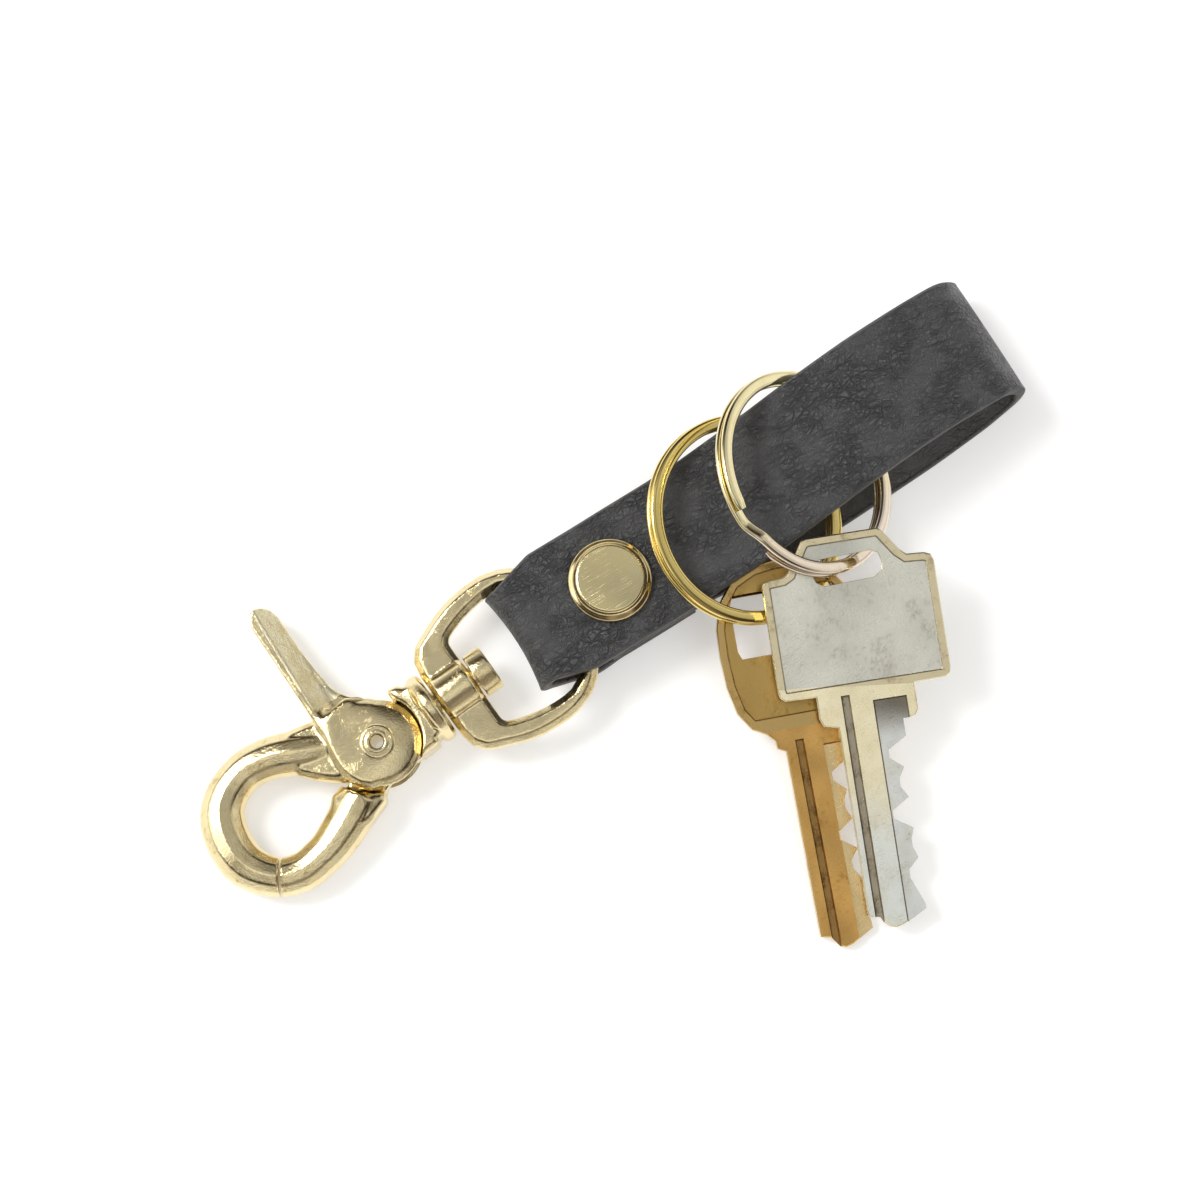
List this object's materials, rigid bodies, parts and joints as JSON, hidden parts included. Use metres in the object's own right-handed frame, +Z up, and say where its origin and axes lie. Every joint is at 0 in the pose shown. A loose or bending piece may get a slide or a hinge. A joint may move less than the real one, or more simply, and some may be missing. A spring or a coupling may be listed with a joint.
{
  "type": "key belt with swivel snap",
  "caption": "Looped leather belt strap on a swivel trigger snap, clamped by a flat binder screw, with two split rings that each carry a pin tumbler key.",
  "frame": {"origin": "middle of the belt's box at floor level", "axes": "+X along the strap from the snap to the loop's far end, -Y to the side where the keys lie, +Z up off the floor"},
  "size_m": [0.1422, 0.0914, 0.0237],
  "materials": {
    "black_leather": "satin",
    "pale_gold_plate": "polished",
    "spring_steel": "drawn",
    "yellow_brass": "polished",
    "pale_nickel_gold": "polished",
    "worn_brass": "worn",
    "nickel_silver": "satin"
  },
  "bodies": {
    "belt": {"strap": "black_leather", "binder_post": "pale_gold_plate", "binder_screw": "pale_gold_plate"},
    "eye": {"swivel_eye": "pale_gold_plate"},
    "snap": {"snap_body": "pale_gold_plate", "swivel_pin": "pale_gold_plate", "pivot_rivet": "pale_gold_plate"},
    "jaw": {"jaw_lever": "pale_gold_plate", "jaw_spring": "spring_steel"},
    "yellow_ring": {"brass_ring": "yellow_brass"},
    "pale_ring": {"nickel_ring": "pale_nickel_gold"},
    "under_key": {"brass_key": "worn_brass"},
    "upper_key": {"silver_key": "nickel_silver"}
  },
  "joints": [
    {"name": "eye_swing", "type": "hinge", "parent": "belt", "child": "eye", "pos_m": [-0.00713, 0.02045, 0.00724], "axis": [-0.0576, 0.9983, 0], "range_deg": [-15, 30], "deforming": ["strap"]},
    {"name": "swivel_spin", "type": "hinge", "parent": "eye", "child": "snap", "pos_m": [-0.04081, 0.01851, 0.00521], "axis": [0.9965, 0.0575, 0.0603], "continuous": true},
    {"name": "jaw_open", "type": "hinge", "parent": "snap", "child": "jaw", "pos_m": [-0.04081, 0.01851, 0.00521], "axis": [0.0602, 0.0035, -0.9982], "range_deg": [0, 25], "stiffness_Nm_per_rad": 0.05, "springref_deg": -28.65, "deforming": ["jaw_spring"]},
    {"name": "yellow_ring_turn", "type": "hinge", "parent": "belt", "child": "yellow_ring", "pos_m": [0.02336, 0.01783, 0.00989], "axis": [0.3554, -0.2181, 0.9089], "continuous": true},
    {"name": "pale_ring_turn", "type": "hinge", "parent": "belt", "child": "pale_ring", "pos_m": [0.03416, 0.01852, 0.01344], "axis": [0.5609, -0.1894, 0.8059], "continuous": true},
    {"name": "under_key_fan", "type": "hinge", "parent": "belt", "child": "under_key", "pos_m": [0.02078, 0.00327, 0.0074], "axis": [-0.0053, -0.1325, 0.9912], "range_deg": [-3, 22]},
    {"name": "upper_key_swing", "type": "hinge", "parent": "belt", "child": "upper_key", "pos_m": [0.03063, 0.00398, 0.01248], "axis": [-0.7937, 0.1536, 0.5885], "range_deg": [0, 50]}
  ]
}
